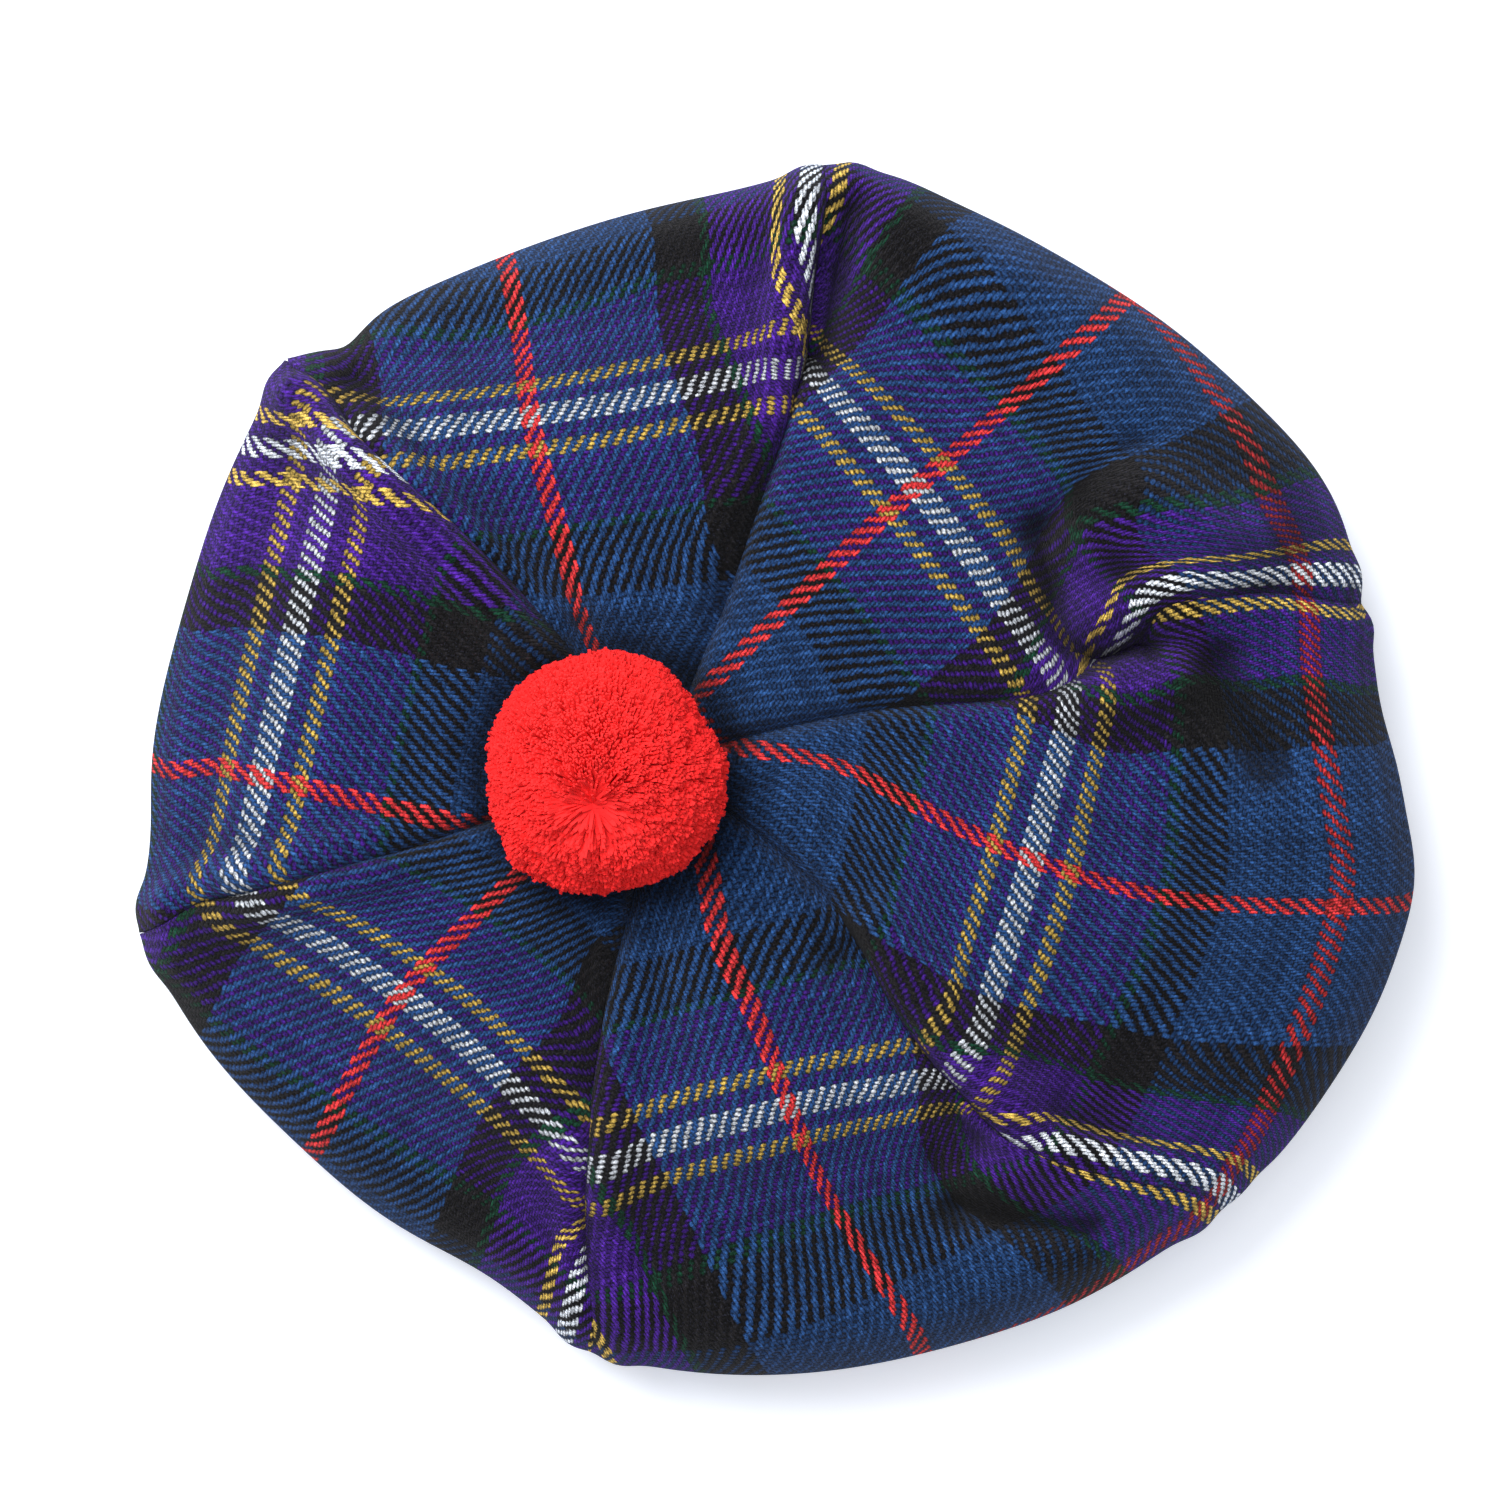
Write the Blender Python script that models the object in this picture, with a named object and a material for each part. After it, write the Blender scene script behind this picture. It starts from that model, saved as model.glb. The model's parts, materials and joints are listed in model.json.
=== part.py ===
"""A tam o' shanter lying on its head band: six tartan gores, the band and a wool toorie.

The hat lies as it was put down, so its crown leans away from the band and its rim is
uneven. Each gore is a wall of cloth between two seams. Its shape is read from lines that
run from the middle of the crown, over the rim and under to the band: one line for each
seam and one down the middle of each gore. Sizes in the tables are millimetres, bearings
are degrees clockwise from the back of the hat (+Y), seen from above.
"""

from collections import namedtuple
from math import cos, pi, radians, sin

import bmesh
import bpy
import numpy as np

MM = 0.001

# Driving sizes, in millimetres.
CLOTH = 2.0  # thickness of the wool twill
SEAM_GAP = 0.3  # between neighbouring pieces
CROWN = np.array([-25.0, 2.0])  # where the six seams meet, from the middle of the hat
EYELET = 6.0  # the gores end this far from the middle, under the toorie
BAND_CENTRE = np.array([34.0, 0.0])
BAND_RADIUS = 94.0  # outside of the head band, for a head of about 58 cm
BAND_HEIGHT = 28.0
BAND_SIDES = 72
OUTLINE_CENTRE = np.array([-1.05, -0.7, 0.0])  # of the whole hat, where the part's origin is
LOWEST_CLOTH = 2.8  # middle of the cloth where it lies nearest the table
TOORIE_CENTRE = (-37.4, -1.0, 56.3)
TOORIE_RADIUS = 26.5
TOORIE_RISE, TOORIE_DROP = 22.0, 17.0  # its top and its flatter foot, from its centre
LOCK_LENGTH = 2.6  # how far the locks of wool stand out of the ball
LOCK_GAP = 0.7  # each lock's end is this much smaller than its root, all round
ACROSS, ALONG = 14, 24  # faces of one gore

# Plan of each line at four stations: a quarter of the way out, at the white stripe,
# between the stripe and the rim, and at the rim. Each reach is from the middle of the crown.
Line = namedtuple(
    "Line",
    "inner_bearing inner_reach white_bearing white_reach "
    "outer_bearing outer_reach rim_bearing rim_reach band_bearing",
)
SEAMS = {
    "fa": Line(318, 49, 315.7, 101.6, 316.5, 112, 316.3, 125.3, 313),
    "ab": Line(379, 47, 378.9, 93.9, 376.6, 115, 375.7, 140.4, 373),
    "bc": Line(77.3, 46, 80.3, 91, 76.4, 122, 77.6, 162.4, 73),
    "cd": Line(130.5, 49, 137.3, 97.5, 136, 121, 127.2, 162.5, 133),
    "de": Line(192.2, 47, 190.1, 94, 188.9, 114, 186.8, 137.2, 193),
    "ef": Line(250, 50, 252.1, 100, 252.6, 112, 251.4, 127.4, 253),
}
MIDDLES = {
    "a": Line(345, 40, 346.4, 79.7, 346.7, 99, 347, 120.4, 343),
    "b": Line(48, 41, 49.2, 81.5, 49.4, 112, 49.6, 150.4, 43),
    "c": Line(104.5, 42.5, 108.2, 85, 107, 121, 104, 171, 103),
    "d": Line(161.5, 41, 163.5, 82.1, 161, 107, 158.5, 146.4, 163),
    "e": Line(221, 39, 221.2, 77.4, 219, 98, 217.1, 122, 223),
    "f": Line(283, 43, 285.7, 86.3, 283, 99, 279.8, 115.1, 283),
}
GORES = {  # each with the seams at its left and right, seen from the crown
    "a": ("fa", "ab"),
    "b": ("ab", "bc"),
    "c": ("bc", "cd"),
    "d": ("cd", "de"),
    "e": ("de", "ef"),
    "f": ("ef", "fa"),
}

# Height of each station over the table, and how much more it is 150 mm towards the band.
Level = namedtuple("Level", "height lean")
LEVELS = {
    "crown": Level(36, 0),
    "inner": Level(43, 3),
    "white": Level(43, 8),
    "outer": Level(37, 12),
    "rim": Level(18, 8),
}
SEAM_DROP = 4.0  # how far a seam lies under the middles of its gores
BEND_SHARE = 0.46  # the rolled rim's radius, at most this share of its way to the band
RIM_ANGLES = (55, 0, -70)  # where the rolled rim is read, degrees above its outermost line
STATIONS = np.array([0.0, 48, 95, 126, 146, 158, 170, 188, 211, 218])
UNDERSIDE = (0.4, 0.15)  # share of the way to the hem, in plan and in height, of its sag
HEM = 5.0  # the last of the cloth lies level, straight out from the band
FOLDS_END = (150.0, 168.0)  # the folds of the crown fade out over this stretch

# Ridges (height over 0) and valleys (under 0) of the crown, between two places in plan.
Fold = namedtuple("Fold", "x0 y0 x1 y1 height width")
FOLDS = (
    Fold(79, 58, 92, 50, 9.5, 13),  # bulge over the crumple between gores b and c
    Fold(80, 71, 61, 55, -6, 5),  # its upper crease
    Fold(59, 51, 66, 26, -8.5, 5.5),  # its inner crease
    Fold(69, 23, 90, 28, -9, 5),  # pocket of the crumple
    Fold(71, 33, 91, 39, 4, 6),  # lip above the pocket
    Fold(74, 14, 91, 19, 5, 6),  # lip below the pocket
    Fold(101, 22, 111, -8, -7.5, 8),  # valley that runs out of the crumple
    Fold(24, -36, 53, -74, 5, 7),  # edge of gore c, over gore d
    Fold(16, -42, 46, -82, -6, 7),  # valley of gore d beside it
    Fold(52, -88, 66, -92, 4.5, 10),  # bulge at the foot of that seam
    Fold(35, -88, 40, -98, -3, 5),
    Fold(42, -100, 70, -103, -3.5, 5),  # crease under the bulge
    Fold(2, 96, 7, 127, 4, 6),  # edge of gore a beside gore b
    Fold(9, 92, 16, 124, -6.5, 6),  # valley of gore b beside it
    Fold(-17, -38, -3, -82, 3.5, 10),  # left half of gore d
    Fold(-54, 26, -108, 83, 5.5, 7),  # edge of gore f, over gore a
    Fold(-46, 33, -98, 89, -4.5, 6),  # valley of gore a beside it
    Fold(-92, -22, -136, -34, 3.5, 7),  # edge of gore f beside gore e
)

# Where the rim stands out, or in, beside what the lines give: a place across the gore (s), how
# wide, and how far.
Swell = namedtuple("Swell", "gore s wide out")
SWELLS = (
    Swell("a", -0.82, 0.2, -4),  # notch beside gore f's corner
    Swell("a", 0.75, 0.35, -3.2),
    Swell("b", -0.88, 0.15, 3),
    Swell("b", -0.3, 0.3, -1.1),
    Swell("b", 0.6, 0.35, 2),
    Swell("c", -0.72, 0.22, -3.2),
    Swell("c", -0.4, 0.15, -1),
    Swell("c", -0.2, 0.2, 1.4),
    Swell("c", 0.5, 0.3, -1.2),
    Swell("d", -0.55, 0.3, 1.3),
    Swell("e", -0.6, 0.35, -4.2),
    Swell("e", 0.6, 0.35, 1.8),
    Swell("f", -0.65, 0.3, -2.6),
    Swell("f", 0.6, 0.3, 1.8),
)

# Where the gathers hold the cloth of the crown aside: a place, how far, and over what width.
Pull = namedtuple("Pull", "x y right back width")
PULLS = (
    Pull(86, 47, -10, 0, 14),
    Pull(74, 56, -4, 2, 9),
    Pull(94, 30, -5, 4, 13),
    Pull(94, 8, 1.5, 8, 13),
    Pull(122, 12, 0, 7, 16),
    Pull(104, 62, -2, -5, 13),
    Pull(84, 78, 3, 0, 10),
    Pull(112, 32, 0, 4.5, 15),
)
PULLS_END = (128.0, 154.0)
SWELL_START, SWELL_END = (100.0, 146.0), (175.0, 215.0)


def plan(bearing, reach):
    """The place at a bearing and a reach from the middle of the crown."""
    return CROWN + reach * np.array([sin(radians(bearing)), cos(radians(bearing))])


def level(name, x):
    return LEVELS[name].height + LEVELS[name].lean * x / 150.0


def stations(line, drop):
    """The line's places (x, y, z), one for each of STATIONS."""
    places = [(*CROWN, level("crown", CROWN[0]))]
    for name in ("inner", "white", "outer"):
        x, y = plan(getattr(line, name + "_bearing"), getattr(line, name + "_reach"))
        places.append((x, y, level(name, x) - drop))
    rim = plan(line.rim_bearing, line.rim_reach)
    rim_height = level("rim", rim[0])
    outwards = (rim - CROWN) / np.linalg.norm(rim - CROWN)
    bearing = radians(line.band_bearing)
    from_band = np.array([sin(bearing), cos(bearing)])
    seat = BAND_CENTRE + (BAND_RADIUS + SEAM_GAP) * from_band
    room = np.linalg.norm(seat - rim)
    inwards = (seat - rim) / room
    bend = min(rim_height - LOWEST_CLOTH, BEND_SHARE * room)
    for degrees in RIM_ANGLES:
        back = (1 - cos(radians(degrees))) * bend
        x, y = rim - outwards * back if degrees > 0 else rim + inwards * back
        places.append((x, y, rim_height + bend * sin(radians(degrees))))
    under = np.array(places[-1])
    hem = np.array([*(seat + HEM * from_band), BAND_HEIGHT - CLOTH])
    share = np.array([UNDERSIDE[0], UNDERSIDE[0], UNDERSIDE[1]])
    places += [under + share * (hem - under), hem]
    places.append((*seat, BAND_HEIGHT - CLOTH / 2))
    return np.array(places)


def curve(knots, values, t):
    """A smooth curve through values at knots, read at t."""
    gaps = np.diff(knots)[:, None]
    slopes = np.diff(values, axis=0) / gaps
    share = gaps[:-1] / (gaps[:-1] + gaps[1:])
    tangents = np.vstack([slopes[:1], slopes[:-1] * (1 - share) + slopes[1:] * share, slopes[-1:]])
    i = np.clip(np.searchsorted(knots, t, side="right") - 1, 0, len(knots) - 2)
    f = ((t - knots[i]) / gaps[i, 0])[..., None]
    start, end = values[i], values[i + 1]
    leave, arrive = tangents[i] * gaps[i], tangents[i + 1] * gaps[i]
    bend = 3 * (end - start) - 2 * leave - arrive
    return start + f * (leave + f * (bend + f * (2 * (start - end) + leave + arrive)))


def steady(knots, values, t):
    """A smooth curve through rising values that never turns back, read at t."""
    gaps = np.diff(knots)
    slopes = np.diff(values) / gaps
    inner = 2 * slopes[:-1] * slopes[1:] / (slopes[:-1] + slopes[1:])
    tangents = np.concatenate([slopes[:1], inner, slopes[-1:]])
    i = np.clip(np.searchsorted(knots, t, side="right") - 1, 0, len(knots) - 2)
    f = (t - knots[i]) / gaps[i]
    leave, arrive = tangents[i] * gaps[i], tangents[i + 1] * gaps[i]
    rise = values[i + 1] - values[i]
    return values[i] + f * (leave + f * (3 * rise - 2 * leave - arrive + f * (leave + arrive - 2 * rise)))


def along_line(line, drop, t):
    """Places on a line, read at t, which counts as STATIONS does."""
    places = stations(line, drop)
    steps = np.linalg.norm(np.diff(places, axis=0), axis=1)
    lengths = np.concatenate([[0.0], np.cumsum(steps)])
    return curve(lengths, places, steady(STATIONS, lengths, t))


def bell(distance, width):
    return np.exp(-((distance / width) ** 2))


def fold_height(x, y):
    """How far the folds lift the crown at a place in plan."""
    lift = np.zeros_like(x)
    for fold in FOLDS:
        run = np.array([fold.x1 - fold.x0, fold.y1 - fold.y0])
        along = ((x - fold.x0) * run[0] + (y - fold.y0) * run[1]) / (run @ run)
        along = np.clip(along, 0, 1)
        off = np.hypot(x - fold.x0 - along * run[0], y - fold.y0 - along * run[1])
        lift += fold.height * bell(off, fold.width)
    return lift


def fade(t, start, end):
    """1 up to start, 0 from end, smooth between."""
    f = np.clip((t - start) / (end - start), 0, 1)
    return 1 - f * f * (3 - 2 * f)


def swell(gore, s, t):
    """How far the rim stands out, beside what the lines give."""
    out = sum(row.out * bell(s - row.s, row.wide) for row in SWELLS if row.gore == gore)
    return out * (1 - s**8) * (1 - fade(t, *SWELL_START)) * fade(t, *SWELL_END)


def pull_aside(places, share):
    """Shifts the cloth in plan to where the gathers hold it."""
    shift = np.zeros_like(places[..., :2])
    for pull in PULLS:
        off = np.hypot(places[..., 0] - pull.x, places[..., 1] - pull.y)
        shift += bell(off, pull.width)[..., None] * (pull.right, pull.back)
    places[..., :2] += shift * share[..., None]


def cloth(gore, s, t):
    """Middle of the gore's cloth: s from -1 to 1 across, t along, from the crown's middle."""
    left, right = GORES[gore]
    edge_left = along_line(SEAMS[left], SEAM_DROP, t)
    middle = along_line(MIDDLES[gore], 0.0, t)
    edge_right = along_line(SEAMS[right], SEAM_DROP, t)
    k = s[..., None]
    places = k * (k - 1) / 2 * edge_left + (1 - k * k) * middle + k * (k + 1) / 2 * edge_right
    pull_aside(places, fade(t, *PULLS_END))
    lift = fold_height(places[..., 0], places[..., 1])
    places[..., 2] += lift * fade(t, *FOLDS_END)
    outwards = unit(places[..., :2] - CROWN)
    places[..., :2] += swell(gore, s, t)[..., None] * outwards
    return places


def unit(vectors):
    return vectors / np.maximum(np.linalg.norm(vectors, axis=-1, keepdims=True), 1e-9)


def wall_direction(places):
    """Way out of the cloth; at a seam it is the same for both of its gores."""
    along = np.gradient(places, axis=0)
    across = np.gradient(places, axis=1)
    out = unit(np.cross(across, along))
    for edge in (0, -1):
        reach = places[:, edge, :2] - CROWN
        clockwise = np.stack([reach[:, 1], -reach[:, 0], 0 * reach[:, 0]], -1)
        out[:, edge] = unit(np.cross(clockwise, along[:, edge]))
    out[-1] = (0, 0, -1)
    return out


def link(name, mesh, colour, roughness):
    """One named object with its own material."""
    material = bpy.data.materials.new(name + "_finish")
    material.use_nodes = True
    shader = material.node_tree.nodes["Principled BSDF"]
    shader.inputs["Base Color"].default_value = (*colour, 1)
    shader.inputs["Roughness"].default_value = roughness
    shader.inputs["Metallic"].default_value = 0
    mesh.materials.append(material)
    mesh.shade_smooth()
    piece = bpy.data.objects.new(name, mesh)
    bpy.context.collection.objects.link(piece)
    return piece


def finish(shape, name, colour, roughness=0.9):
    bmesh.ops.translate(shape, verts=shape.verts, vec=-OUTLINE_CENTRE * MM)
    bmesh.ops.recalc_face_normals(shape, faces=shape.faces)
    mesh = bpy.data.meshes.new(name)
    shape.to_mesh(mesh)
    shape.free()
    return link(name, mesh, colour, roughness)


def make_gore(gore, colour):
    """A flat grid of cloth, bent to its place and given its thickness."""
    s, t = np.meshgrid(
        np.linspace(-1, 1, ACROSS + 1), np.linspace(EYELET, STATIONS[-1], ALONG + 1)
    )
    places = cloth(gore, s, t)
    out = wall_direction(places)
    along = np.gradient(places, axis=0)
    inset = np.zeros_like(places)
    for edge, side in ((0, 1), (-1, -1)):
        inset[:, edge] = side * SEAM_GAP / 2 * unit(np.cross(along[:, edge], out[:, edge]))
    shape = bmesh.new()
    skins = []
    for side in (1, -1):
        grid = bmesh.ops.create_grid(shape, x_segments=ACROSS, y_segments=ALONG, size=1)
        skin = places + inset + side * CLOTH / 2 * out
        for vert, place in zip(grid["verts"], skin.reshape(-1, 3)):
            vert.co = place * MM
        skins.append(grid["verts"])
    rims = [edge for edge in shape.edges if edge.is_boundary]
    bmesh.ops.bridge_loops(shape, edges=rims)
    split_walls(skins)
    return finish(shape, "gore_" + gore, colour)


def split_walls(skins):
    """Cuts the wall at each seam into the same triangles on both of its gores."""
    upper, lower = skins
    row = ACROSS + 1
    for first in (0, ACROSS):
        for near in range(first, ALONG * row, row):
            start, end = upper[near], lower[near + row]
            wall = set(start.link_faces) & set(end.link_faces)
            for face in wall:
                bmesh.utils.face_split(face, start, end)


def make_band(colour):
    """The head band: an upright ring of cloth."""
    shape = bmesh.new()
    rings = []
    for radius in (BAND_RADIUS, BAND_RADIUS - CLOTH):
        ring = bmesh.ops.create_circle(shape, segments=BAND_SIDES, radius=radius * MM)["verts"]
        rings += ring
    loops = [edge for edge in shape.edges if edge.is_boundary or edge.is_wire]
    flat = bmesh.ops.bridge_loops(shape, edges=loops)["faces"]
    raised = bmesh.ops.extrude_face_region(shape, geom=flat)["geom"]
    top = [item for item in raised if isinstance(item, bmesh.types.BMVert)]
    bmesh.ops.translate(shape, verts=top, vec=(0, 0, BAND_HEIGHT * MM))
    bmesh.ops.translate(shape, verts=shape.verts, vec=(*(BAND_CENTRE * MM), 0))
    return finish(shape, "head_band", colour)


def make_toorie(colour):
    """The pompom: a ball of wool whose cut ends stand out in short locks."""
    shape = bmesh.new()
    bmesh.ops.create_icosphere(shape, subdivisions=3, radius=TOORIE_RADIUS - LOCK_LENGTH)
    bmesh.ops.inset_individual(
        shape, faces=shape.faces[:], thickness=LOCK_GAP, depth=LOCK_LENGTH
    )
    for vert in shape.verts:
        vert.co.z *= (TOORIE_RISE if vert.co.z > 0 else TOORIE_DROP) / TOORIE_RADIUS
    bmesh.ops.translate(shape, verts=shape.verts, vec=TOORIE_CENTRE)
    bmesh.ops.scale(shape, verts=shape.verts, vec=(MM, MM, MM))
    return finish(shape, "toorie", colour, 1.0)


def main():
    for old in list(bpy.data.objects):
        bpy.data.objects.remove(old, do_unlink=True)
    for number, gore in enumerate(GORES):
        colour = (0.03, 0.06, 0.2) if number % 2 else (0.08, 0.03, 0.25)
        make_gore(gore, colour)
    make_band((0.03, 0.05, 0.12))
    make_toorie((0.85, 0.03, 0.03))


main()
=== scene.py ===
"""Looks of a tartan tam o' shanter that lies on a pale table, seen from straight above.

The six gores are sheets of wool twill, sewn edge to edge. They follow the same kind of lines
as the part's source, one for each seam and one down the middle of each gore, with crisper
folds and with a few places of the rim moved by some millimetres. On top of that come the
rolled and tucked edges beside the seams. Every point of the cloth also knows its place in
the flat, woven tartan, so the checks follow the folds.

Sizes in the tables are millimetres, and bearings are degrees clockwise from the back of the
hat (+Y), seen from above. In a gore, s runs from -1 at its left seam over 0 at its middle to
1 at its right seam, and t runs along it by its stations, from the middle of the crown to the
band.
"""

import json
from collections import namedtuple
from math import atan2, cos, degrees, pi, radians, sin

import bmesh
import bpy
import numpy as np
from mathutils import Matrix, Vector, noise

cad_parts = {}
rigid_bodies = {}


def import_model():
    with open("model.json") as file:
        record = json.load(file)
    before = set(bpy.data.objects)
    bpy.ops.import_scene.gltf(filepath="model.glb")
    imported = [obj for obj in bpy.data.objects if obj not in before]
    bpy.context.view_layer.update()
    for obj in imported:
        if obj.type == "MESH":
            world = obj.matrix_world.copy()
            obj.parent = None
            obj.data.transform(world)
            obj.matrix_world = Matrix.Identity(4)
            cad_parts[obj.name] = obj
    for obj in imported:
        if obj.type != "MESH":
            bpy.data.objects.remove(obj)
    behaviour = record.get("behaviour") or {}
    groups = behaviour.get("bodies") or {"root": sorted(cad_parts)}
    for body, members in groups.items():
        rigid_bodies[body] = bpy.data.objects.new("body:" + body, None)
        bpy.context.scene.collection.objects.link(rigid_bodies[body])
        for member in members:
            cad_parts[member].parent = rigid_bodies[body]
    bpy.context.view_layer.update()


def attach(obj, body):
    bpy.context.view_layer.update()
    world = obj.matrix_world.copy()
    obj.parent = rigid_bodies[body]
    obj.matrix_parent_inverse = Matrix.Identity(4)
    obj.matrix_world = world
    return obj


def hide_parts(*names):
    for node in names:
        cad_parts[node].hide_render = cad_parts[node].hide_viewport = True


MM = 0.001
OUTLINE_CENTRE = np.array([-1.05, -0.7, 0.0])  # the tables' place of the hat's origin
CLOTH = 2.0  # how thick the cloth is
SEAM_GAP = 0.3
CROWN = np.array([-25.0, 2.0])  # the middle of the crown, in plan, where the gores meet
EYELET = 6.0  # the gores start this far along, under the toorie
ACROSS, ALONG = 130, 200  # faces of one gore's sheet
LOWEST_MIDDLE = 1.2  # of the cloth, over the table

BAND_CENTRE = np.array([34.0, 0.0])
BAND_RADIUS = 94.0
BAND_HEIGHT = 28.0
BAND_TURNS, BAND_ROWS = 240, 14  # faces round the band and up it
BAND_ROUNDING = 0.6  # of its edges
BAND_START = 80.0  # where along the tartan the band was cut

TOORIE_CENTRE = np.array([-37.4, -1.0, 56.3])
TOORIE_RADIUS = 26.5
TOORIE_RISE, TOORIE_DROP = 22.0, 17.0  # how far it goes up and down from its centre

TINY = 1e-9  # so that nothing is divided by zero
WELD = 0.01  # corners as close as this are one


# ---------------------------------------------------------------- the gores' lines

# Each line's plan at four stations, the bearing where it meets the band, and how much cloth
# there is from the middle of the crown to its outer station and to the rim.
Line = namedtuple(
    "Line",
    "inner_bearing inner_reach white_bearing white_reach outer_bearing outer_reach "
    "rim_bearing rim_reach band_bearing outer_cloth rim_cloth",
)
SEAMS = {
    "fa": Line(318, 49, 315.7, 101.6, 316.5, 112, 316.3, 125.3, 313, 104, 119),
    "ab": Line(381.5, 47, 378.9, 93.9, 376.6, 115, 375.7, 139.6, 373, 120, 148),
    "bc": Line(77.3, 46, 80.3, 91, 76.4, 122, 77.6, 161.2, 73, 134, 201),
    "cd": Line(130.5, 49, 137.3, 97.5, 136.4, 121, 129, 162.5, 133, 124, 185),
    "de": Line(192.2, 47, 190.1, 94, 188.9, 114, 186.8, 136.5, 193, 117, 150),
    "ef": Line(250, 50, 252.1, 100, 252.6, 112, 251.4, 126.6, 253, 107, 128),
}
MIDDLES = {
    "a": Line(345, 40, 346.4, 79.7, 346.7, 99, 347, 120.4, 343, 122, 155),
    "b": Line(48, 41, 49.2, 81.5, 49.4, 112, 49.6, 150.4, 43, 130, 177),
    "c": Line(104.5, 42.5, 108.2, 85, 107, 121, 104, 171, 103, 135, 205),
    "d": Line(161.5, 41, 163.5, 82.1, 161, 107, 158.5, 146.4, 163, 125, 168),
    "e": Line(221, 39, 221.2, 77.4, 219, 98, 217.1, 122, 223, 118, 150),
    "f": Line(283, 43, 285.7, 86.3, 283, 99, 279.8, 115.1, 283, 109, 130),
}

# How each gore was cut from the tartan: how far its left seam, its middle and its right seam
# lie from the red stripe that runs down it, where it crosses the white stripe, at the outer
# station and at the rim. It comes to a point at its apex and is straight again at the band.
Cut = namedtuple(
    "Cut",
    "left_seam right_seam apex white_left white_middle white_right "
    "outer_left outer_middle outer_right rim_left rim_middle rim_right band_middle",
)
GORES = {
    "a": Cut("fa", "ab", 5.5, -40, 10, 60, -45, 9.5, 76, -52, 9, 80, 12),
    "b": Cut("ab", "bc", 4, -40, 8, 55, -66, 10.5, 80, -74, 10, 81, 5),
    "c": Cut("bc", "cd", 9, -45, 4, 54, -71.5, 4, 79, -70.5, 9.7, 79, 3),
    "d": Cut("cd", "de", 2, -45, 4.5, 46, -71, 4, 58, -71.5, 5, 74, 0),
    "e": Cut("de", "ef", -5, -56, -9, 41, -75, -10, 46, -81, -10, 55, -12),
    "f": Cut("ef", "fa", 19, -26, 28, 82, -32, 25, 90, -40, 21, 98, 26),
}
BAND_CUT = 97.0  # width of every gore at the band
APEX_CLOTH = 7.0  # the seams take this much off the point of each gore

STATIONS = np.array([0.0, 48, 95, 126, 146, 158, 170, 188, 211, 218])
RIM_STATION = 5  # place of the rim among the stations
CUT_STATIONS = STATIONS[[0, 1, 2, 3, RIM_STATION, -1]]  # where the cut of a gore is given

Level = namedtuple("Level", "height lean")
LEVELS = {  # how high the middles lie, and how much more at LEAN_REACH to the right
    "crown": Level(36, 0),
    "inner": Level(43, 3),
    "white": Level(43, 8),
    "outer": Level(37, 12),
    "rim": Level(18, 8),
}
LEAN_REACH = 150.0
SEAM_DROP = 4.0  # the seams lie this much lower
LOWEST_BEND = 2.8  # the rim's bend stays this far over the table
BEND_SHARE = 0.46  # and its radius is at most this share of the way in to the band
RIM_ANGLES = (55, 0, -70)  # how far up from level the bend is read
UNDERSIDE = (0.4, 0.4, 0.15)  # the next place: shares (x, y, z) of the way to the hem
HEM = 5.0  # the cloth reaches the height of the band this far outside it


# ---------------------------------------------------------------- folds and gathers

# Where the crown is folded: from one place to another, how high or deep, and how wide.
Fold = namedtuple("Fold", "x0 y0 x1 y1 height width")
FOLDS = (
    Fold(79, 58, 92, 50, 9.5, 13),  # bulge over the crumple between gores b and c
    Fold(80, 71, 61, 55, -3.5, 5),  # its upper crease
    Fold(59, 51, 66, 26, -7, 5.5),  # its inner crease
    Fold(73, 25, 84, 27, -9, 5),  # pocket of the crumple
    Fold(71, 33, 91, 39, 4, 6),  # lip above the pocket
    Fold(74, 14, 91, 19, 5, 6),  # lip below the pocket
    Fold(101, 22, 112, 2, -7, 6.5),  # valley that runs out of the crumple
    Fold(24, -36, 53, -74, 5, 7),  # edge of gore c, over gore d
    Fold(16, -42, 46, -82, -6, 7),  # valley of gore d beside it
    Fold(52, -88, 66, -92, 4.5, 10),  # bulge at the foot of that seam
    Fold(35, -88, 40, -98, -3, 5),  # short crease to its left
    Fold(42, -100, 70, -103, -5.5, 5),  # crease under the bulge
    Fold(2, 96, 7, 127, 4, 6),  # edge of gore a beside gore b
    Fold(9, 92, 16, 124, -7.5, 6),  # valley of gore b beside it
    Fold(-9, 34, 5, 84, -2.5, 5),  # and further in
    Fold(-17, -38, -3, -82, 3.5, 10),  # left half of gore d
    Fold(-41, -42, -43, -72, -2, 5),  # edge of gore e beside it
    Fold(-54, 26, -108, 83, 5.5, 7),  # edge of gore f, over gore a
    Fold(-46, 33, -98, 89, -4.5, 6),  # valley of gore a beside it
    Fold(-92, -22, -136, -34, 3.5, 7),  # edge of gore f beside gore e
)
FOLD_DEPTH = 1.25  # the folds of the real cloth are crisper than the coarse solids show
FOLDS_END = (150.0, 168.0)  # they die out between these places along the cloth
TIE_DIP, TIE_WIDTH = 2.5, 7.0  # how the tie of the toorie draws the crown down round it

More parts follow.
